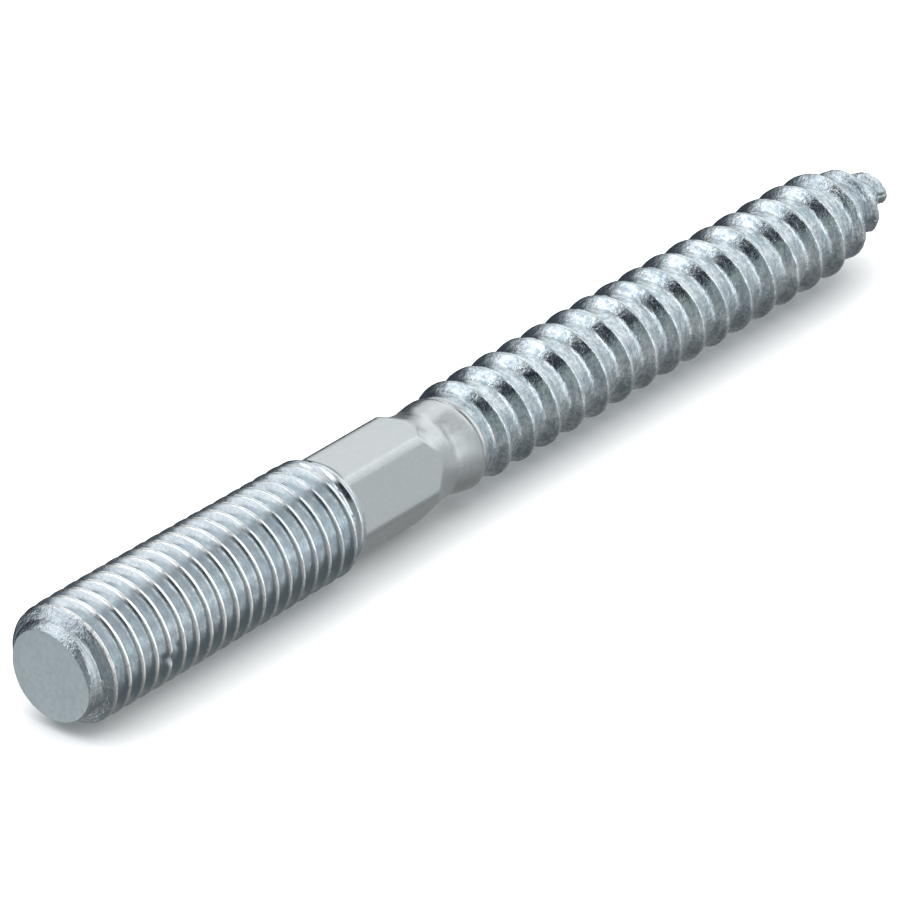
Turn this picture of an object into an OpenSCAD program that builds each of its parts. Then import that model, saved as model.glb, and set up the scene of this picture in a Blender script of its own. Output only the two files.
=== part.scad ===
// Hanger bolt: metric machine thread, hexagonal drive, coarse wood screw thread.
// One solid, turned and rolled from a single bar. It lies along +X with the
// machine end at -X, on the plane z = 0. Millimetres.

/* [Overall] */
// overall length, from the cut machine end to the blunt tip
total_len = 99; // [80:1:130]
// turn of the whole bolt about its own axis, as it lies
bolt_turn = 9.8; // [0:0.1:60]

/* [Machine end] */
// major diameter of the machine thread
machine_d = 10; // [8:0.5:12]
// length of the machine-threaded end, chamfer included
machine_len = 29.6; // [20:0.2:40]
// diameter of the flat end face inside the lead-in chamfer
end_face_d = 8.2; // [6:0.1:9]
// length of the lead-in chamfer
lead_chamfer = 1.1; // [0.5:0.1:2]

/* [Hex drive] */
// width of the hexagon across its flats
hex_af = 7.9; // [7:0.1:9]
// diameter to which the corners of the hexagon are turned
hex_corner_d = 8.9; // [8:0.1:10]
// length of the hexagon along its corners
hex_len = 8.6; // [5:0.1:15]
// turn of the hexagon about the bolt's axis
hex_turn = 24.5; // [0:0.5:59.5]

/* [Neck and collar] */
// diameter of the plain neck between hexagon and collar
neck_d = 7.3; // [6.6:0.1:8]
// diameter of the flared collar where the wood thread starts
collar_d = 8.1; // [7.6:0.1:8.6]

/* [Wood thread] */
// crest diameter of the wood thread
wood_d = 8.6; // [8:0.1:9.6]
// root diameter of the wood thread
wood_root_d = 6.9; // [5.8:0.1:7]
// pitch of the wood thread, one start, right-handed
wood_pitch = 3; // [2.5:0.1:4]
// half-angle of the thread's flanks
flank_angle = 30; // [20:1:35]
// width of the rolled crest
crest_w = 0.34; // [0.2:0.02:0.6]
// diameter of the blunt tip over its last crest
tip_d = 2.6; // [2:0.1:4]
// length of the tapered point
taper_len = 8.6; // [5:0.1:15]

/* [Quality] */
// segments in one turn of the wood thread
turn_segments = 32; // [24:1:40]

/* [Hidden] */
machine_r = machine_d / 2;
hex_corner_r = hex_corner_d / 2;
neck_r = neck_d / 2;
collar_r = collar_d / 2;
wood_r = wood_d / 2;
wood_root_r = wood_root_d / 2;
tip_r = tip_d / 2;
end_face_r = end_face_d / 2;

// stations along the axis, counted from the machine end
runout_len = 0.9;                              // last, fading machine turn
hex_x0 = machine_len + runout_len;             // hexagon starts at a round shoulder
hex_x1 = hex_x0 + hex_len;                     // corners end in a cone
neck_x0 = hex_x1 + 2.6;                        // cone reaches the neck
neck_x1 = neck_x0 + 0.8;                       // neck starts to flare
collar_x = neck_x1 + 1.7;                      // widest point of the collar
collar_back = 0.55;                            // length of the collar's back slope
wood_x0 = neck_x1 - 0.25;                      // helix starts, buried in the neck
taper_x0 = total_len - taper_len;
over_len = 1.6;                                // helix runs past the tip, then is cut

// cross-section of one turn: six points, as offset along the axis and height 0..1
flank_w = (wood_r - wood_root_r) * tan(flank_angle);
turn_shape = [
    [0, 0],                                              // middle of the root
    [wood_pitch / 2 - crest_w / 2 - flank_w, 0.04],      // foot of the near flank
    [wood_pitch / 2 - crest_w / 2, 0.93],                // near edge of the crest
    [wood_pitch / 2, 1],                                 // crest
    [wood_pitch / 2 + crest_w / 2, 0.93],                // far edge of the crest
    [wood_pitch / 2 + crest_w / 2 + flank_w, 0.04]       // foot of the far flank
];
cols = len(turn_shape);
helix_turns = (total_len + over_len - wood_x0) / wood_pitch - 1;
steps = floor(helix_turns * turn_segments);
start_angle = 141.4;                           // angle at which the helix starts

// envelope of the crests: full, then a rounded taper to the tip
function taper_at(x) = max(0, x - taper_x0) / taper_len;
function crest_at(x) = max(0.6, wood_r - (wood_r - tip_r) * pow(taper_at(x), 1.6));
// the ridge rises over the first turns and gets lower along the point
function rise_at(x) = min(1, max(0.05, (x - wood_x0) / (1.7 * wood_pitch)));
function ridge_at(x) = (wood_r - wood_root_r) * sqrt(rise_at(x))
    * (1 - 0.5 * min(1, taper_at(x)));
function root_at(x) = max(0.35, crest_at(x) - (wood_r - wood_root_r)
    * (1 - 0.5 * min(1, taper_at(x))));

// one point of the helical surface: step i along the helix, column j across it
function surface_point(i, j) =
    let (a = start_angle + 360 * i / turn_segments,
         z = wood_x0 + wood_pitch * i / turn_segments + turn_shape[j][0],
         r = root_at(z) + ridge_at(z) * turn_shape[j][1])
    [r * cos(a), r * sin(a), z];

// index of a point; past the last column comes the first column of the next turn
function at(i, j) = j < cols
    ? (i <= steps ? i * cols + j : (steps + 1) * cols + (i - steps - 1))
    : at(i + turn_segments, 0);

// Core and ridge of the wood thread as one closed helical surface.
module wood_thread_body() {
    rows = [for (i = [0:steps], j = [0:cols - 1]) surface_point(i, j)];
    last_root = [for (i = [steps + 1:steps + turn_segments]) surface_point(i, 0)];
    n = len(rows) + len(last_root);
    ends = [[0, 0, wood_x0 + wood_pitch / 2],
            [0, 0, wood_x0 + wood_pitch * (steps / turn_segments + 0.5)]];
    skin = [for (i = [0:steps - 1], j = [0:cols - 1])
        each [[at(i, j), at(i, j + 1), at(i + 1, j + 1)],
              [at(i, j), at(i + 1, j + 1), at(i + 1, j)]]];
    start_cap = concat(
        [for (i = [0:turn_segments - 1]) [n, at(i, 0), at(i + 1, 0)]],
        [for (j = [0:cols - 1]) [n, at(0, j + 1), at(0, j)]]);
    end_cap = concat(
        [for (i = [0:turn_segments - 1]) [n + 1, at(steps + i + 1, 0), at(steps + i, 0)]],
        [for (j = [0:cols - 1]) [n + 1, at(steps, j), at(steps, j + 1)]]);
    polyhedron(points = concat(rows, last_root, ends),
               faces = concat(skin, start_cap, end_cap), convexity = 20);
}

// Blunt end: the helix is cut off square at the overall length.
module wood_thread() {
    intersection() {
        wood_thread_body();
        cylinder(r = machine_r, h = total_len, $fn = 96);
    }
}

// Blank of the machine thread at its major diameter, chamfered at its end and
// fading to the round shoulder of the hexagon.
module machine_end() {
    rotate_extrude($fn = 96)
        polygon([[0, 0], [end_face_r, 0], [machine_r, lead_chamfer], [machine_r, machine_len],
                 [hex_corner_r, hex_x0], [hex_corner_r - 0.3, hex_x0 + 0.25],
                 [0, hex_x0 + 0.25]]);
}

// Hexagon with corners turned round and coned down to the neck.
module hex_drive() {
    intersection() {
        translate([0, 0, hex_x0 - 1]) rotate([0, 0, hex_turn])
            cylinder(d = hex_af / cos(30), h = neck_x1 - hex_x0 + 1, $fn = 6);
        rotate_extrude($fn = 96)
            polygon([[0, hex_x0 - 1], [hex_corner_r, hex_x0 - 1], [hex_corner_r, hex_x1],
                     [neck_r, neck_x0], [neck_r, neck_x1], [0, neck_x1]]);
    }
}

// Plain neck, and the collar that flares out to the first turn of the thread.
module neck_and_collar() {
    rotate_extrude($fn = 96)
        polygon([[0, neck_x0 - 1], [neck_r - 0.25, neck_x0 - 1], [neck_r, neck_x0],
                 [neck_r, neck_x1], [neck_r + 0.32 * (collar_r - neck_r), neck_x1 + 0.75],
                 [collar_r, collar_x], [wood_root_r - 0.1, collar_x + collar_back],
                 [0, collar_x + collar_back]]);
}

module hanger_bolt() {
    color([0.68, 0.70, 0.72])
        translate([-total_len / 2, 0, machine_r]) rotate([0, 90, 0]) rotate([0, 0, bolt_turn]) {
            machine_end();
            hex_drive();
            neck_and_collar();
            wood_thread();
        }
}

hanger_bolt();
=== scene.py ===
"""Hanger bolt of zinc-plated steel: metric machine thread, hexagonal drive, wood screw thread."""

import logging
import math
from collections.abc import Callable
from dataclasses import dataclass, field
from enum import Enum

import bmesh
import bpy
from mathutils import Euler, Matrix, Vector, noise


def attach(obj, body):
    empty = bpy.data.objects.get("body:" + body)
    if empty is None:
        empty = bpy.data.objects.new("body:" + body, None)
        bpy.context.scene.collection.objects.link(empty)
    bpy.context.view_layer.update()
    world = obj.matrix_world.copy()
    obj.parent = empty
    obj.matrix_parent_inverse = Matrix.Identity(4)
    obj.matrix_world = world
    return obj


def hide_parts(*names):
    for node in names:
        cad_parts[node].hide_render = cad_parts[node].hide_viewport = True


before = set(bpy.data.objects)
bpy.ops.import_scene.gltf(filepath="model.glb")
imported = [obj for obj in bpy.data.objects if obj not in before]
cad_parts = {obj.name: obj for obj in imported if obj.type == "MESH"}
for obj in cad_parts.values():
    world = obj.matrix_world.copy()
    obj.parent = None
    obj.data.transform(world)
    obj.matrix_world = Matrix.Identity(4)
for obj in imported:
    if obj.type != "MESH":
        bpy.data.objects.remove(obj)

log = logging.getLogger("hanger_bolt")

Triple = tuple[float, float, float]

MM = 0.001
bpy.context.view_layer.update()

# lengths in millimetres, angles in degrees
BAR_R = 5.0
MERGE_WITHIN = 0.012
CUT_WITHIN = 1e-4
RIM_WITHIN = 2e-3
SHARP_EDGE = 42.0


class Zone(Enum):
    """The finishes of the bolt, each the index of a material slot."""

    CUT_FACE = 0
    MACHINE_THREAD = 1
    DRIVE = 2
    WOOD_THREAD = 3


# ---------------------------------------------------------------- small maths


def clamp(value: float, low: float = 0.0, high: float = 1.0) -> float:
    """Keep a value between two limits."""
    return max(low, min(high, value))


def lerp(a: float, b: float, share: float) -> float:
    """Go from a to b by a share."""
    return a + (b - a) * share


def soft_min(a: float, b: float, width: float) -> float:
    """The smaller of two values, rounded over a width where they cross."""
    h = clamp(0.5 + 0.5 * (b - a) / width)
    return lerp(b, a, h) - width * h * (1 - h) / 2


def soft_max(a: float, b: float, width: float) -> float:
    """The larger of two values, rounded over a width where they cross."""
    return -soft_min(-a, -b, width)


def bell(distance: float, half: float) -> float:
    """1 at no distance, fading out over a half width."""
    return math.exp(-((distance / half) ** 2))


@dataclass(frozen=True)
class Span:
    """The stretch over which something comes in; with start past end, it goes out."""

    start: float
    end: float

    def share(self, value: float) -> float:
        """Go smoothly from 0 at the start to 1 at the end."""
        t = clamp((value - self.start) / (self.end - self.start))
        return t * t * (3 - 2 * t)


# ------------------------------------------------------------ shape of the bolt
# Stations are lengths along the axis from the cut end, angles run from +Y to +Z.


@dataclass(frozen=True)
class Helix:
    """A right-handed helix of one start: where its crest lies at each angle."""

    pitch: float
    crest_x: float
    crest_angle: float = 138.8

    def offset(self, x: float, angle: float) -> float:
        """Distance along the axis from the nearest crest, positive past it.

        Args:
            x: Station along the axis.
            angle: Angle about the axis.

        Returns:
            A length from minus half a pitch to half a pitch.
        """
        crest = self.crest_x + self.pitch * (angle - self.crest_angle) / 360
        u = (x - crest) / self.pitch
        return (u - math.floor(u + 0.5)) * self.pitch


@dataclass(frozen=True)
class Ripple:
    """Unevenness of the surface.

    Args:
        height: Its height.
        along: Cells in a millimetre along the axis.
        across: Cells in a radian about the axis.
    """

    height: float
    along: float
    across: float

    def at(self, x: float, angle: float) -> float:
        """Height at a station and an angle."""
        a = math.radians(angle)
        place = (x * self.along, math.cos(a) * self.across, math.sin(a) * self.across)
        return self.height * noise.noise(Vector(place))


@dataclass(frozen=True)
class Dent:
    """A nick in the surface, or a burr when its depth is negative."""

    x: float
    angle: float
    size: float
    depth: float

    def depth_at(self, x: float, angle: float) -> float:
        """How far the surface is pushed in.

        Args:
            x: Station along the axis.
            angle: Angle about the axis.

        Returns:
            The depth there, 0 well away from the dent.
        """
        if abs(x - self.x) > 3 * self.size:
            return 0.0
        across = math.radians((angle - self.angle + 180) % 360 - 180) * BAR_R
        return self.depth * bell(math.hypot(x - self.x, across), self.size)


def spun_skin(
    columns: list[float], start: float, angle: float, pitch: float, turns: int, steps: int
) -> bmesh.types.BMesh:
    """Spin a row of points about the axis for one turn, and repeat the turn along a helix.

    Args:
        columns: Places of the points along the axis, counted from start.
        start: Station of the row.
        angle: Angle of the row.
        pitch: Advance in one turn, 0 for a lathe turn.
        turns: Number of turns.
        steps: Steps in one turn.

    Returns:
        The skin, with its turns merged to each other.
    """
    turn = bmesh.new()
    a = math.radians(angle)
    y, z = BAR_R * math.cos(a), BAR_R * math.sin(a)
    row = [turn.verts.new((start + c, y, z)) for c in columns]
    edges = [turn.edges.new(pair) for pair in zip(row, row[1:])]
    bmesh.ops.spin(
        turn,
        geom=row + edges,
        cent=(0, 0, 0),
        axis=(1, 0, 0),
        dvec=(pitch / steps, 0, 0),
        angle=math.tau,
        steps=steps,
        use_merge=pitch == 0,
    )
    mesh = bpy.data.meshes.new("turn")
    turn.to_mesh(mesh)
    turn.free()
    bm = bmesh.new()
    for _ in range(turns):
        bm.from_mesh(mesh)
        mesh.transform(Matrix.Translation((pitch, 0, 0)))
    bpy.data.meshes.remove(mesh)
    bmesh.ops.remove_doubles(bm, verts=bm.verts, dist=MERGE_WITHIN)
    return bm


def shape(bm: bmesh.types.BMesh, radius: Callable[[float, float], float]) -> None:
    """Move each point of a skin to the radius that a function gives for it.

    Args:
        bm: The skin.
        radius: A function of station and angle.
    """
    for v in bm.verts:
        a = math.atan2(v.co.z, v.co.y)
        r = radius(v.co.x, math.degrees(a))
        v.co.y, v.co.z = r * math.cos(a), r * math.sin(a)


def cut(bm: bmesh.types.BMesh, x: float, keep_right: bool) -> None:
    """Cut a skin square to the axis and drop one side of it.

    Args:
        bm: The skin.
        x: Station of the cut.
        keep_right: Whether the side past the cut is the one that stays.
    """
    bmesh.ops.bisect_plane(
        bm,
        geom=bm.verts[:] + bm.edges[:] + bm.faces[:],
        dist=CUT_WITHIN,
        plane_co=(x, 0, 0),
        plane_no=(1, 0, 0),
        clear_inner=keep_right,
        clear_outer=not keep_right,
    )


def rim(bm: bmesh.types.BMesh, x: float) -> list[bmesh.types.BMEdge]:
    """The open edges that lie at a station."""
    open_edges = (e for e in bm.edges if e.is_boundary)
    return [e for e in open_edges if all(abs(v.co.x - x) < RIM_WITHIN for v in e.verts)]


def close_end(bm: bmesh.types.BMesh, x: float, inset: float, depth: float) -> None:
    """Close the open rim at a station with a flat face that has a small border.

    Args:
        bm: The skin.
        x: Station of the rim.
        inset: Width of the border.
        depth: How far the face inside the border stands out.
    """
    face = bmesh.ops.contextual_create(bm, geom=rim(bm, x))["faces"]
    bmesh.ops.inset_region(bm, faces=face, thickness=inset, depth=depth, use_even_offset=True)


@dataclass(frozen=True)
class LeadIn:
    """Cone at the cut end, a little out of centre, with scars from the cutting.

    Args:
        face_r: Radius of the end face.
        shift_near: How far the rim is shifted towards the crest's angle.
        shift_up: How far the rim is shifted a quarter turn past it.
        flat: How much the rim is flattened on both sides.
        slope: Rise of the cone for its length.
        extra_slope: What is added on the side of the crest's angle.
        rounding: Softness of the corner between cone and thread.
        waviness: Unevenness of the cone.
        scars: Marks around the cone.
        scarred: Where they fade out along the thread.
        spared: Where they come in behind the rim.
    """

    face_r: float = 3.95
    shift_near: float = -0.30
    shift_up: float = 0.36
    flat: float = 0.25
    slope: float = 1.0
    extra_slope: float = 0.5
    rounding: float = 0.12
    waviness: Ripple = Ripple(0.03, 0.9, 3.0)
    scars: Ripple = Ripple(0.07, 4.5, 1.75)
    scarred: Span = Span(3.2, 1.2)
    spared: Span = Span(0.0, 0.3)

    def trim(self, r: float, x: float, angle: float, crest_angle: float) -> float:
        """Bring a radius of the thread down to the cone.

        Args:
            r: Radius of the thread there.
            x: Station along the axis.
            angle: Angle about the axis.
            crest_angle: Angle that the shifts are counted from.

        Returns:
            The radius of the finished surface.
        """
        side = math.radians(angle - crest_angle)
        near = math.cos(side)
        edge = self.face_r + self.shift_near * near + self.shift_up * math.sin(side) - self.flat * near**2
        cone = edge + (self.slope + self.extra_slope * max(near, 0)) * x + self.waviness.at(x, angle)
        scar = self.scars.at(x, angle) * self.spared.share(x) * self.scarred.share(x)
        return soft_min(r, cone, self.rounding) + scar


@dataclass
class MachineEnd:
    """Rolled metric thread with its chamfered end and its run-out.

    The crest has a fine seam, as rolled threads have. It is lower near the cut end and
    towards the drive, and the groove fades out at the first turn and at the shoulder.
    """

    major_r: float = 5.0
    depth: float = 0.9
    flank_slope: float = math.sqrt(3)
    crest_half: float = 0.15
    crest_round: float = 0.10
    lead_root_round: float = 0.12
    back_root_round: float = 0.10
    seam: float = 0.035
    seam_half: float = 0.05
    end_loss: float = 0.13
    end_loss_run: float = 1.6
    drive_loss: float = 0.12
    slimming: Span = Span(8.0, 29.0)
    first_turn: Span = Span(0.35, 1.5)
    run_out: Span = Span(29.75, 30.15)
    blank_r: float = 4.02
    foot_r: float = 3.95
    shoulder_r: float = 4.43
    shoulder: Span = Span(29.6, 30.2)
    shoulder_round: float = 0.03
    join_x: float = 30.3
    steps: int = 112
    face_inset: float = 0.10
    face_depth: float = 0.015
    helix: Helix = Helix(1.5, 12.2)
    lead_in: LeadIn = LeadIn()
    waviness: Ripple = Ripple(0.012, 0.9, 3.0)
    crest_wear: Ripple = Ripple(0.02, 1.2, 6.0)
    crest_only: Span = Span(0.45, 0.1)
    dents: tuple[Dent, ...] = (
        Dent(7.85, 186.0, 0.32, 0.30),
        Dent(29.55, 200.0, 0.22, -0.22),
        Dent(9.4, 160.0, 0.2, 0.06),
    )
    columns: tuple[float, ...] = (
        -0.75, -0.66, -0.55, -0.40, -0.26, -0.18, -0.11, -0.055, 0.0,
        0.055, 0.11, 0.18, 0.26, 0.40, 0.55, 0.66, 0.75,
    )  # fmt: skip

    def crest_at(self, x: float) -> float:
        """Radius of the crest at a station."""
        end = self.end_loss * math.exp(-x / self.end_loss_run)
        return self.major_r - end - self.drive_loss * self.slimming.share(x)

    def radius(self, x: float, angle: float) -> float:
        """Radius of the surface.

        Args:
            x: Station along the axis.
            angle: Angle about the axis.

        Returns:
            The radius there.
        """
        u = self.helix.offset(x, angle)
        crest = self.crest_at(x) + self.waviness.at(x, angle)
        crest += self.crest_wear.at(x, angle) * self.crest_only.share(abs(u))
        drop = soft_max((abs(u) - self.crest_half) * self.flank_slope, 0, self.crest_round)
        rounding = self.lead_root_round if u < 0 else self.back_root_round
        drop = lerp(self.depth, soft_min(drop, self.depth, rounding), self.first_turn.share(x - u))
        r = crest - drop - self.seam * bell(u, self.seam_half)
        r = lerp(r, self.blank_r, self.run_out.share(x - u))
        foot = lerp(self.foot_r, self.shoulder_r, self.shoulder.share(x))
        r = soft_max(r, foot, self.shoulder_round)
        r -= sum(dent.depth_at(x, angle) for dent in self.dents)
        return self.lead_in.trim(r, x, angle, self.helix.crest_angle)

    def skin(self) -> bmesh.types.BMesh:
        """Make the thread.

        Returns:
            One skin, open at the shoulder and closed by the end face.
        """
        pitch = self.helix.pitch
        first = self.helix.crest_x - pitch * math.ceil(self.helix.crest_x / pitch + 1)
        turns = math.ceil((self.join_x - first) / pitch) + 1
        bm = spun_skin(list(self.columns), first, self.helix.crest_angle, pitch, turns, self.steps)
        shape(bm, self.radius)
        cut(bm, 0.0, keep_right=True)
        cut(bm, self.join_x, keep_right=False)
        close_end(bm, 0.0, self.face_inset, self.face_depth)
        return bm


@dataclass
class HexDrive:
    """Hexagon rolled on the bar, coned down to the plain neck."""

    across_flats: float = 7.9
    corner_r: float = 4.43
    corner_round: float = 0.10
    corner_angle: float = 3.9
    start_x: float = 30.4
    flat_x: float = 31.0
    shoulder_slope: float = 0.8
    shoulder_round: float = 0.08
    end_x: float = 39.2
    cone_rise: float = 0.80
    cone_run: float = 1.15
    cone_round: float = 0.14
    neck_r: float = 3.65
    join_x: float = 41.5
    steps: int = 120
    rows: int = 86

    def radius(self, x: float, angle: float) -> float:
        """Radius of the surface.

        Args:
            x: Station along the axis.
            angle: Angle about the axis.

        Returns:
            The radius there.
        """
        inner = self.across_flats / 2
        turn = math.radians((angle - self.corner_angle) % 60 - 30)
        body = soft_min(inner / math.cos(turn), self.corner_r, self.corner_round)
        shoulder = inner + (self.flat_x - x) * self.shoulder_slope
        body = soft_max(body, min(shoulder, self.corner_r), self.shoulder_round)
        return soft_min(body, self.cone_at(x), self.cone_round)

    def cone_at(self, x: float) -> float:
        """Radius of the cone that runs down to the plain neck."""
        return self.neck_r + self.cone_rise * math.exp(-(x - self.end_x) / self.cone_run)

    def skin(self) -> bmesh.types.BMesh:
        """Make the drive and the neck.

        Returns:
            One lathe-turned skin, open at both ends.
        """
        columns = [(self.join_x - self.start_x) * i / self.rows for i in range(self.rows + 1)]
        bm = spun_skin(columns, self.start_x, self.corner_angle, 0, 1, self.steps)
        shape(bm, self.radius)
        return bm


@dataclass(frozen=True)
class Groove:
    """The groove behind the collar's edge.

    Args:
        depth: Its depth.
        behind: How far its middle lies past the edge.
        half: Its half width.
        birth: Stations of the edge between which it comes in.
    """

    depth: float = 0.34
    behind: float = 0.46
    half: float = 0.25
    birth: Span = Span(42.9, 44.0)

    def depth_at(self, x: float, edge_x: float) -> float:
        """How far the surface is pushed in at a station, for the edge's station."""
        return self.depth * bell(x - edge_x - self.behind, self.half) * self.birth.share(edge_x)


@dataclass(frozen=True)
class Point:
    """The blunt end: ragged and rounded over.

    Args:
        taper_x: Station where the thread begins to taper.
        length: Station of its end.
        crest_r: Radius of the last crest.
        power: How late the taper falls off.
        flat_r: Radius of the flat at the end.
        dome: How fast the rounded end widens.
        lead: How far the dome starts past the end.
        rounding: Softness of its corner with the thread.
        crest_growth: How much wider the crest is at the end.
        foot_growth: How much wider the flanks are at the end.
        depth_loss: How much shallower the thread is at the end.
    """

    taper_x: float = 90.4
    length: float = 99.0
    crest_r: float = 1.3
    power: float = 1.65
    flat_r: float = 0.95
    dome: float = 1.5
    lead: float = 0.05
    rounding: float = 0.2
    crest_growth: float = 0.5
    foot_growth: float = 0.2
    depth_loss: float = 0.3

    def share(self, x: float) -> float:
        """How far along the taper a station is, from 0 to 1."""
        return clamp((x - self.taper_x) / (self.length - self.taper_x))

    def trim(self, r: float, x: float) -> float:
        """Round a radius of the thread over at the end."""
        dome = self.flat_r + self.dome * math.sqrt(max(0.0, self.length + self.lead - x))
        return soft_min(r, dome, self.rounding)


@dataclass
class WoodEnd:
    """Flared collar, coarse wood thread and blunt point.

    The first turn of the thread is the collar: its lead flank flares out of the neck.
    """

    crest_r: float = 4.30
    collar_r: float = 4.12
    crest_growth: Span = Span(44.2, 47.0)
    crest_half: float = 0.13
    crest_round: float = 0.16
    lead_flank: float = 46.0
    back_flank: float = 32.0
    least_ridge: float = 0.3
    birth: Span = Span(42.9, 44.3)
    root_r: float = 3.45
    neck_root_r: float = 3.65
    collar_root_r: float = 3.76
    collar_root: Span = Span(42.6, 45.5)
    full_root: Span = Span(44.9, 47.0)
    lead_root_round: float = 0.32
    back_root_round: float = 0.2
    collar_root_round: float = 0.7
    collar_start: float = 41.5
    collar_end: Span = Span(46.4, 44.5)
    collar_bulge: float = 0.25
    start_x: float = 41.6
    neck_blend: Span = Span(41.5, 42.6)
    steps: int = 112
    face_inset: float = 0.2
    face_depth: float = 0.05
    neck: HexDrive = field(default_factory=HexDrive)
    groove: Groove = Groove()
    point: Point = Point()
    helix: Helix = Helix(3.0, 44.4)
    waviness: Ripple = Ripple(0.02, 1.3, 4.0)
    lumps: tuple[Ripple, ...] = (Ripple(0.10, 1.04, 3.2), Ripple(0.06, 3.25, 10.0))
    collar_lumps: float = 0.04
    thread_lumps: float = 0.21
    ragged: Span = Span(90.0, 97.0)
    columns: tuple[float, ...] = (
        -1.5, -1.25, -1.0, -0.82, -0.66, -0.52, -0.38, -0.26, -0.18, -0.11, 0.0,
        0.11, 0.18, 0.26, 0.38, 0.52, 0.66, 0.82, 1.05, 1.28, 1.5,
    )  # fmt: skip

    def crest_at(self, x: float) -> float:
        """Radius of the crest at a station: grows past the collar, tapers to the point."""
        grown = lerp(self.collar_r, self.crest_r, self.crest_growth.share(x))
        return grown - (self.crest_r - self.point.crest_r) * self.point.share(x) ** self.point.power

    def root_at(self, x: float) -> float:
        """Radius of the root.

        Args:
            x: Station along the axis.

        Returns:
            The radius there, which follows the crest along the taper.
        """
        start = lerp(self.neck_root_r, self.collar_root_r, self.collar_root.share(x))
        root = lerp(start, self.root_r, self.full_root.share(x))
        taper = self.point.share(x)
        if taper == 0:
            return root
        depth = (self.crest_r - self.root_r) * (1 - self.point.depth_loss * taper)
        return min(root, self.crest_at(x) - depth)

    def collar_at(self, angle: float) -> float:
        """Station of the collar's edge, the first crest, at an angle."""
        turned = (angle - self.helix.crest_angle + 180) % 360 - 180
        return self.helix.crest_x + self.helix.pitch * turned / 360

    def height(self, u: float, crest_x: float, ridge: float, taper: float) -> float:
        """Height on the ridge, as a share of it.

        Args:
            u: Distance along the axis from the crest, positive past it.
            crest_x: Station of the crest.
            ridge: Height of the ridge.
            taper: How far along the taper it is, from 0 to 1.

        Returns:
            0 at the root to 1 at the crest.
        """
        past = abs(u) - self.crest_half * (1 + self.point.crest_growth * taper)
        flank = math.tan(math.radians(self.lead_flank if u < 0 else self.back_flank))
        foot = max(self.least_ridge, ridge) * (1 + self.point.foot_growth * taper) * flank
        if u >= 0:
            return soft_max(soft_min(1 - past / foot, 1.0, self.crest_round), 0.0, self.back_root_round)
        flare = self.collar_end.share(crest_x)
        foot = lerp(foot, max(foot, crest_x - self.collar_start), flare)
        h = clamp(1 - past / foot, -1, 1.2)
        full = clamp(h)
        h = lerp(h, full * (1 + self.collar_bulge * (1 - full)), flare)
        rounding = lerp(self.lead_root_round, self.collar_root_round, flare)
        return soft_max(soft_min(h, 1.0, self.crest_round), 0.0, rounding)

    def radius(self, x: float, angle: float) -> float:
        """Radius of the surface.

        Args:
            x: Station along the axis.
            angle: Angle about the axis.

        Returns:
            The radius there.
        """
        u = self.helix.offset(x, angle)
        collar_x = self.collar_at(angle)
        if x - u < collar_x - self.helix.pitch / 2:
            u = x - collar_x
        crest_x = x - u
        root = self.root_at(x)
        ridge = max(0.0, self.crest_at(crest_x) + self.waviness.at(x, angle) - root)
        ridge *= self.birth.share(crest_x)
        r = root + ridge * self.height(u, crest_x, ridge, self.point.share(x))
        r -= self.groove.depth_at(x, collar_x)
        lumps = self.collar_lumps + self.thread_lumps * self.crest_growth.share(x) + self.ragged.share(x)
        r += lumps * sum(ripple.at(x, angle) for ripple in self.lumps)
        return lerp(self.neck.cone_at(x), self.point.trim(r, x), self.neck_blend.share(x))

    def skin(self) -> bmesh.types.BMesh:
        """Make the wood thread.

        Returns:
            One skin, open at the neck and closed at the point.
        """
        pitch = self.helix.pitch
        first = self.helix.crest_x - 2 * pitch
        turns = math.ceil((self.point.length - first) / pitch) + 1
        bm = spun_skin(list(self.columns), first, self.helix.crest_angle, pitch, turns, self.steps)
        shape(bm, self.radius)
        cut(bm, self.start_x, keep_right=True)
        cut(bm, self.point.length, keep_right=False)
        close_end(bm, self.point.length, self.face_inset, self.face_depth)
        return bm


# ------------------------------------------------------------------- shader maths


@dataclass
class Wire:
    """A socket that takes part in expressions; each operator adds its Math node."""

    graph: "Graph"
    socket: bpy.types.NodeSocket

    def math(self, operation: str, *values: "Wire | float") -> "Wire":
        """Add a Math node of an operation on these values."""
        return self.graph.node("ShaderNodeMath", {"operation": operation}, dict(enumerate(values)))

    def __add__(self, other: "Wire | float") -> "Wire":
        """Sum."""
        return self.math("ADD", self, other)

    __radd__ = __add__

    def __sub__(self, other: "Wire | float") -> "Wire":
        """Difference."""
        return self.math("SUBTRACT", self, other)

    def __rsub__(self, other: "Wire | float") -> "Wire":
        """Reflected difference."""
        return self.math("SUBTRACT", other, self)

    def __mul__(self, other: "Wire | float") -> "Wire":
        """Product."""
        return self.math("MULTIPLY", self, other)

    __rmul__ = __mul__


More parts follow.
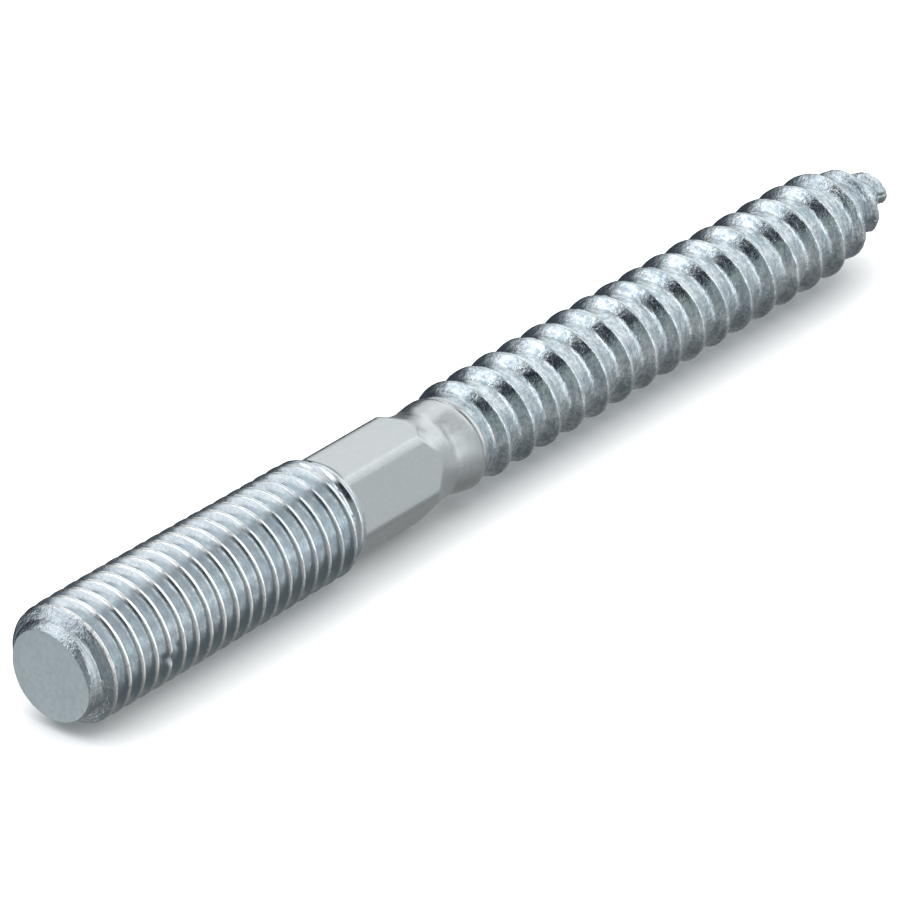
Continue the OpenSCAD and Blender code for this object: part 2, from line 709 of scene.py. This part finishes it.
class Graph:
    """The node tree of a material or a world."""

    def __init__(self, owner: bpy.types.Material | bpy.types.World) -> None:
        """Start with an empty tree.

        Args:
            owner: What the tree belongs to.
        """
        owner.use_nodes = True
        self.owner = owner
        self.tree = owner.node_tree
        self.tree.nodes.clear()

    def node(self, kind: str, settings: dict, sockets: dict, output: int | str = 0) -> Wire:
        """Add a node.

        Args:
            kind: The node's type.
            settings: Its properties, and "stops" for a ramp's stops.
            sockets: Values or wires by input name or number.
            output: Which output to return.

        Returns:
            The wire of that output.
        """
        made = self.tree.nodes.new(kind)
        for key, value in settings.items():
            if key == "stops":
                self.set_stops(made.color_ramp.elements, value)
            else:
                setattr(made, key, value)
        for key, value in sockets.items():
            if isinstance(value, Wire):
                self.tree.links.new(value.socket, made.inputs[key])
            else:
                made.inputs[key].default_value = value
        return Wire(self, made.outputs[output])

    @staticmethod
    def set_stops(ramp: bpy.types.ColorRampElements, stops: tuple[tuple[float, float], ...]) -> None:
        """Set the stops of a ramp.

        Args:
            ramp: The elements of the ramp.
            stops: Place and grey level of each stop, in order.
        """
        while len(ramp) > 1:
            ramp.remove(ramp[-1])
        for i, (place, grey) in enumerate(stops):
            stop = ramp.new(place) if i else ramp[0]
            stop.position = place
            stop.color = (grey, grey, grey, 1)

    def noise(self, along: float, across: float, detail: float, rough: float) -> Wire:
        """Noise in the frame of the piece.

        Args:
            along: Cells in a millimetre along the bolt.
            across: Cells in a millimetre across it.
            detail: Number of finer layers.
            rough: Strength of the finer layers.

        Returns:
            The wire of its value.
        """
        place = self.node("ShaderNodeTexCoord", {}, {}, "Object")
        factors = (along / MM, across / MM, across / MM)
        cells = self.node("ShaderNodeVectorMath", {"operation": "MULTIPLY"}, {0: place, 1: factors})
        sockets = {"Vector": cells, "Scale": 1.0, "Detail": detail, "Roughness": rough}
        return self.node("ShaderNodeTexNoise", {}, sockets)

    def ramp(self, value: Wire, low: float, high: float) -> Wire:
        """Spread a value that lies between low and high smoothly over 0 to 1."""
        sockets = {0: value, 1: low, 2: high, 3: 0.0, 4: 1.0}
        return self.node("ShaderNodeMapRange", {"interpolation_type": "SMOOTHSTEP"}, sockets)

    def mix(self, share: Wire, a: Triple | Wire, b: Triple | Wire) -> Wire:
        """Mix two colours.

        Args:
            share: The share of the second colour.
            a: The first colour.
            b: The second colour.

        Returns:
            The wire of the mixed colour.
        """
        first, second = ((*c, 1) if isinstance(c, tuple) else c for c in (a, b))
        return self.node("ShaderNodeMix", {"data_type": "RGBA"}, {0: share, 6: first, 7: second}, 2)

    def attribute(self, name: str) -> Wire:
        """The value of an attribute of the mesh."""
        return self.node("ShaderNodeAttribute", {"attribute_name": name}, {}, "Fac")

    def close(self, shader: Wire, output: str) -> None:
        """Send a shader to an output node of the given type."""
        out = self.tree.nodes.new(output)
        self.tree.links.new(shader.socket, out.inputs["Surface"])


@dataclass(frozen=True)
class ZincFinish:
    """Blue-passivated zinc on steel.

    Args:
        zone: The zone that it is for.
        pale: Colour of the clean plating.
        dull: Colour where the plating is thin or stained.
        rough: Lowest and highest roughness.
        streak: Cells in a millimetre along and across the bolt of its drawn marks.
        mottle: Strength of the cloudy change of colour.
        bump: Strength of the relief, in millimetres.
        edge: How far the crests are mixed towards the pale colour, a painted highlight for the light that
            the rounded crests catch.
        scars: How much deeper the relief is where the piece is worn.
        highlight_colour: Colour of the painted highlight on a crest.
        highlight_heights: Heights on the ridge between which the painted highlight comes in.
    """

    zone: Zone
    pale: Triple
    dull: Triple
    rough: tuple[float, float]
    streak: tuple[float, float]
    mottle: float
    bump: float
    edge: float = 0.0
    scars: float = 2.0
    # painted highlight: pale colour for the crests, and the ridge heights where it comes in
    highlight_colour: Triple = (0.97, 0.97, 0.94)
    highlight_heights: tuple[float, float] = (0.90, 1.0)

    def material(self) -> bpy.types.Material:
        """Build the finish's nodes.

        Returns:
            The material: drawn marks, clouds and grain in colour, gloss and relief.
        """
        g = Graph(bpy.data.materials.new("zinc_" + self.zone.name.lower()))
        marks = g.noise(*self.streak, 4, 0.65)
        cloud = g.noise(0.35, 0.35, 3, 0.5)
        grain = g.noise(3.0, 3.0, 3, 0.6)
        height = g.attribute("ridge")
        wear = g.attribute("wear")
        tone = g.ramp(marks * 0.45 + cloud * 0.2 + grain * 0.35, 0.40, 0.60)
        # Painted highlight: high on the ridge the colour goes pale, standing in for the light that the
        # rounded crests catch.
        crest_highlight = g.ramp(height + (grain - 0.5) * self.mottle, *self.highlight_heights)
        colour = g.mix(tone * self.mottle, self.pale, self.dull)
        colour = g.mix(crest_highlight * self.edge, colour, self.highlight_colour)
        low, high = self.rough
        rough = low + (high - low) * tone + (grain - 0.5) * 0.1
        relief = (marks * 0.6 + grain * 0.4) * (1.0 + wear * self.scars)
        bump = {"Strength": 1.0, "Distance": self.bump * MM, "Height": relief}
        normal = g.node("ShaderNodeBump", {}, bump)
        look = {"Base Color": colour, "Metallic": 1.0, "Roughness": rough, "Normal": normal}
        g.close(g.node("ShaderNodeBsdfPrincipled", {}, look), "ShaderNodeOutputMaterial")
        return g.owner


# --------------------------------------------------------------------- the bolt


@dataclass
class HangerBolt:
    """The whole bolt: one piece of steel, threaded at both ends.

    The machine thread's finish ends a little past its shoulder, and the drive's behind
    the collar's groove. Crests are marked for a painted highlight, and both ends for wear.
    """

    machine: MachineEnd = field(default_factory=MachineEnd)
    drive: HexDrive = field(default_factory=HexDrive)
    wood: WoodEnd = field(default_factory=WoodEnd)
    face_reach: float = 0.02
    shoulder_x: float = 30.45
    past_collar: float = 0.95
    thread_root_r: float = 4.05
    cone_x: float = 1.0
    cone_ridge: float = 0.6
    drive_end: float = 44.0
    drive_ridge: float = 0.5
    worn_cone: Span = Span(2.6, 1.4)
    worn_point: Span = Span(88.0, 94.0)
    point_wear: float = 0.6
    finishes: tuple[ZincFinish, ...] = (
        ZincFinish(
            Zone.CUT_FACE,
            pale=(0.62, 0.67, 0.69),
            dull=(0.57, 0.62, 0.65),
            rough=(0.50, 0.60),
            streak=(2.0, 2.0),
            mottle=0.5,
            bump=0.010,
        ),
        ZincFinish(
            Zone.MACHINE_THREAD,
            pale=(0.73, 0.78, 0.81),
            dull=(0.44, 0.51, 0.57),
            rough=(0.14, 0.24),
            streak=(5.0, 0.5),
            mottle=0.5,
            bump=0.015,
            edge=0.9,
            scars=12.0,
        ),
        ZincFinish(
            Zone.DRIVE,
            pale=(0.61, 0.64, 0.65),
            dull=(0.56, 0.60, 0.62),
            rough=(0.26, 0.34),
            streak=(1.2, 1.2),
            mottle=0.12,
            bump=0.008,
        ),
        ZincFinish(
            Zone.WOOD_THREAD,
            pale=(0.78, 0.84, 0.87),
            dull=(0.42, 0.50, 0.55),
            rough=(0.12, 0.26),
            streak=(3.0, 0.9),
            mottle=1.0,
            bump=0.085,
            edge=0.15,
        ),
    )

    def zone_of(self, face: bmesh.types.BMFace) -> Zone:
        """Tell the zone of a face.

        Args:
            face: A face of the joined skin, in millimetres.

        Returns:
            The zone that it belongs to.
        """
        x, y, z = face.calc_center_median()
        if x < self.face_reach and abs(face.normal.x) > 0.9:
            return Zone.CUT_FACE
        if x < self.shoulder_x:
            return Zone.MACHINE_THREAD
        edge = self.wood.collar_at(math.degrees(math.atan2(z, y))) + self.past_collar
        return Zone.DRIVE if x < edge else Zone.WOOD_THREAD

    def ridge_at(self, co: Vector) -> float:
        """Tell how high on the ridge of its thread a point lies.

        Args:
            co: The point, in millimetres.

        Returns:
            0 at the root to 1 at the crest, and between them where there is no thread.
        """
        r = math.hypot(co.y, co.z)
        if co.x < self.drive.start_x:
            share = clamp((r - self.thread_root_r) / self.machine.depth)
            return share if co.x > self.cone_x else self.cone_ridge
        if co.x < self.drive_end:
            return self.drive_ridge
        depth = self.wood.crest_r - self.wood.root_r
        return clamp(1 - (self.wood.crest_at(co.x) - r) / depth)

    def joined(self) -> bmesh.types.BMesh:
        """Join the three skins.

        Returns:
            One closed skin in millimetres, with outward normals.
        """
        bm = bmesh.new()
        for part in (self.machine, self.drive, self.wood):
            skin = part.skin()
            mesh = bpy.data.meshes.new("skin")
            skin.to_mesh(mesh)
            skin.free()
            bm.from_mesh(mesh)
            bpy.data.meshes.remove(mesh)
        joins = ((self.machine.join_x, self.drive.start_x), (self.drive.join_x, self.wood.start_x))
        for a, b in joins:
            bmesh.ops.bridge_loops(bm, edges=rim(bm, a) + rim(bm, b))
        bmesh.ops.recalc_face_normals(bm, faces=bm.faces)
        if bm.calc_volume(signed=True) < 0:
            bmesh.ops.reverse_faces(bm, faces=bm.faces)
        return bm

    def mark(self, bm: bmesh.types.BMesh) -> None:
        """Mark ridges, wear, zones and sharp edges on a skin.

        Args:
            bm: The joined skin, in millimetres.
        """
        ridge = bm.verts.layers.float.new("ridge")
        wear = bm.verts.layers.float.new("wear")
        for v in bm.verts:
            v[ridge] = self.ridge_at(v.co)
            v[wear] = self.worn_cone.share(v.co.x) + self.point_wear * self.worn_point.share(v.co.x)
        for f in bm.faces:
            f.smooth = True
            f.material_index = self.zone_of(f).value
        for e in bm.edges:
            e.smooth = e.calc_face_angle(0) < math.radians(SHARP_EDGE)

    def build(self) -> bpy.types.Object:
        """Build the bolt as one closed piece in metres and dress it.

        Returns:
            The piece, lying along X on the floor.
        """
        bm = self.joined()
        self.mark(bm)
        place = Matrix.Translation(Vector((-self.wood.point.length / 2, 0, self.machine.major_r)) * MM)
        bmesh.ops.transform(bm, matrix=place @ Matrix.Scale(MM, 4), verts=bm.verts)
        log.info("open edges %d", sum(not e.is_manifold for e in bm.edges))
        log.info("bolt: %d triangles", sum(len(f.verts) - 2 for f in bm.faces))
        mesh = bpy.data.meshes.new("bolt")
        bm.to_mesh(mesh)
        bm.free()
        piece = bpy.data.objects.new("bolt", mesh)
        bpy.context.collection.objects.link(piece)
        for finish in sorted(self.finishes, key=lambda f: f.zone.value):
            mesh.materials.append(finish.material())
        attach(piece, "root")
        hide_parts("hanger_bolt")
        return piece


# -------------------------------------------------------------------- the studio


@dataclass(frozen=True)
class SoftBox:
    """A soft area light that points at the bolt and has no reflection of its own."""

    name: str
    place: Triple
    size: tuple[float, float]
    power: float

    def hang(self) -> None:
        """Add the light to the scene."""
        light = bpy.data.lights.new(self.name, "AREA")
        light.shape = "RECTANGLE"
        light.size, light.size_y = self.size
        light.energy = self.power
        lamp = bpy.data.objects.new(self.name, light)
        lamp.location = self.place
        lamp.rotation_euler = (-Vector(self.place)).to_track_quat("-Z", "Y").to_euler()
        lamp.visible_glossy = False
        bpy.context.collection.objects.link(lamp)


@dataclass(frozen=True)
class Pane:
    """A lighter or darker pane of the tent.

    Args:
        towards: Its direction from the bolt.
        full: Half-angle within which it has its full level.
        wide: Half-angle at which it has faded out.
        level: Its brightness.
        colour: Its tint.
    """

    towards: Triple
    full: float
    wide: float
    level: float
    colour: Triple = (1.0, 1.0, 1.0)


@dataclass(frozen=True)
class Floor:
    """A wide pale floor that the bolt doesn't mirror; its half size is in metres."""

    half: float = 6.0
    colour: Triple = (0.93, 0.93, 0.93)
    rough: float = 0.9

    def lay(self) -> None:
        """Add the floor to the scene."""
        bm = bmesh.new()
        bmesh.ops.create_grid(bm, x_segments=1, y_segments=1, size=self.half)
        mesh = bpy.data.meshes.new("floor")
        bm.to_mesh(mesh)
        bm.free()
        g = Graph(bpy.data.materials.new("pale_floor"))
        paint = {"Base Color": (*self.colour, 1), "Roughness": self.rough, "Specular IOR Level": 0.0}
        g.close(g.node("ShaderNodeBsdfPrincipled", {}, paint), "ShaderNodeOutputMaterial")
        mesh.materials.append(g.owner)
        floor = bpy.data.objects.new("floor", mesh)
        floor.visible_glossy = False
        bpy.context.collection.objects.link(floor)


@dataclass(frozen=True)
class LongCamera:
    """A long lens that looks down on the bolt from its machine end."""

    place: Triple = (-0.420236, -0.354665, 0.320676)
    turn: Triple = (59.924, 0.0, -49.5676)
    lens: float = 325.868
    sensor: float = 36.0
    clip: tuple[float, float] = (0.01, 50.0)

    def set_up(self) -> None:
        """Add the camera and make it the scene's."""
        data = bpy.data.cameras.new("camera")
        data.sensor_width = self.sensor
        data.lens = self.lens
        data.clip_start, data.clip_end = self.clip
        camera = bpy.data.objects.new("camera", data)
        camera.location = self.place
        camera.rotation_euler = Euler([math.radians(t) for t in self.turn])
        bpy.context.collection.objects.link(camera)
        bpy.context.scene.camera = camera


@dataclass
class Studio:
    """Pale floor, tent of soft light and camera.

    The tent's level at each height goes from straight down, 0, to straight up, 1.
    """

    camera: LongCamera = LongCamera()
    floor: Floor = Floor()
    key: SoftBox = SoftBox("key", (0.2, 0.4, 1.3), (3.0, 3.0), 42.0)
    tint: Triple = (0.96, 0.99, 1.0)
    levels: tuple[tuple[float, float], ...] = (
        (0.0, 0.17), (0.08, 0.26), (0.16, 0.36), (0.30, 0.38), (0.50, 0.35), (0.65, 0.45), (1.0, 0.5),
    )  # fmt: skip
    panes: tuple[Pane, ...] = (
        Pane((0.20, 0.97, -0.05), 25, 45, 0.06, (0.8, 0.9, 1.1)),
        Pane((-0.34, 0.94, -0.07), 12, 25, 0.10, (0.80, 0.93, 1.1)),
        Pane((1.0, 0.03, 0.0), 14, 24, 1.3),
        Pane((0.86, -0.18, 0.45), 11, 18, 1.3),
        Pane((-0.66, 0.56, -0.50), 20, 40, 0.75, (0.95, 1.0, 1.0)),
        Pane((0.66, 0.33, 0.67), 17, 22, 1.3, (1.0, 0.99, 0.97)),
        Pane((0.66, 0.73, 0.20), 11, 16, 0.03, (0.5, 0.8, 1.2)),
        Pane((0.66, 0.60, 0.45), 8, 13, 0.85),
        Pane((0.15, 0.32, 0.93), 14, 24, 1.1),
        Pane((0.36, 0.74, 0.56), 10, 18, 1.0),
        Pane((0.66, -0.72, 0.05), 16, 32, 0.68, (0.97, 0.99, 1.0)),
        Pane((-0.05, -0.45, 0.88), 10, 22, 1.5),
        Pane((0.0, -0.80, 0.58), 12, 24, 1.5),
        Pane((0.0, -1.0, 0.10), 14, 26, 1.4),
        Pane((0.0, -0.90, -0.42), 12, 24, 0.8),
        Pane((0.66, -0.55, 0.50), 8, 15, 1.0),
        Pane((0.66, -0.20, 0.72), 10, 16, 1.15),
        Pane((-0.66, -0.62, 0.25), 16, 28, 0.36, (0.90, 1.0, 0.98)),
        Pane((-0.50, 0.50, 0.70), 14, 22, 1.6, (0.99, 0.98, 1.0)),
        Pane((-0.62, 0.27, 0.74), 12, 20, 1.7, (0.98, 0.98, 1.0)),
        Pane((-0.74, -0.34, 0.58), 14, 23, 0.02, (0.5, 0.8, 1.2)),
        Pane((-0.81, 0.50, 0.33), 19, 31, 1.12, (0.98, 0.98, 1.0)),
        Pane((-0.98, -0.12, 0.14), 14, 25, 0.14, (0.78, 0.92, 1.0)),
        Pane((-0.94, -0.32, -0.18), 8, 24, 0.28, (0.86, 0.95, 1.0)),
        Pane((-0.66, -0.12, -0.74), 8, 34, 0.13, (0.85, 0.97, 1.0)),
    )

    def hang_tent(self) -> None:
        """Make the world a tent of soft light: a level for each height, and panes in it."""
        world = bpy.data.worlds.new("tent")
        g = Graph(world)
        towards = g.node("ShaderNodeTexCoord", {}, {}, "Generated")
        height = g.node("ShaderNodeSeparateXYZ", {}, {0: towards}, 2)
        light = g.node("ShaderNodeValToRGB", {"stops": self.levels}, {0: height * 0.5 + 0.5})
        for pane in self.panes:
            middle = tuple(Vector(pane.towards).normalized())
            near = g.node("ShaderNodeVectorMath", {"operation": "DOT_PRODUCT"}, {0: towards, 1: middle}, 1)
            wide, full = (math.cos(math.radians(a)) for a in (pane.wide, pane.full))
            light = g.mix(g.ramp(near, wide, full), light, tuple(pane.level * c for c in pane.colour))
        light = g.node("ShaderNodeVectorMath", {"operation": "MULTIPLY"}, {0: light, 1: self.tint})
        sky = g.node("ShaderNodeBackground", {}, {"Color": light, "Strength": 1.0})
        g.close(sky, "ShaderNodeOutputWorld")
        bpy.context.scene.world = world

    def build(self) -> None:
        """Set up the camera, the floor and the lights."""
        bpy.context.scene.view_settings.view_transform = "Standard"
        self.camera.set_up()
        self.floor.lay()
        self.hang_tent()
        self.key.hang()


def main() -> None:
    """Build the studio and the bolt."""
    logging.basicConfig(level=logging.INFO, format="%(name)s: %(message)s")
    Studio().build()
    HangerBolt().build()


if __name__ == "__main__":
    main()
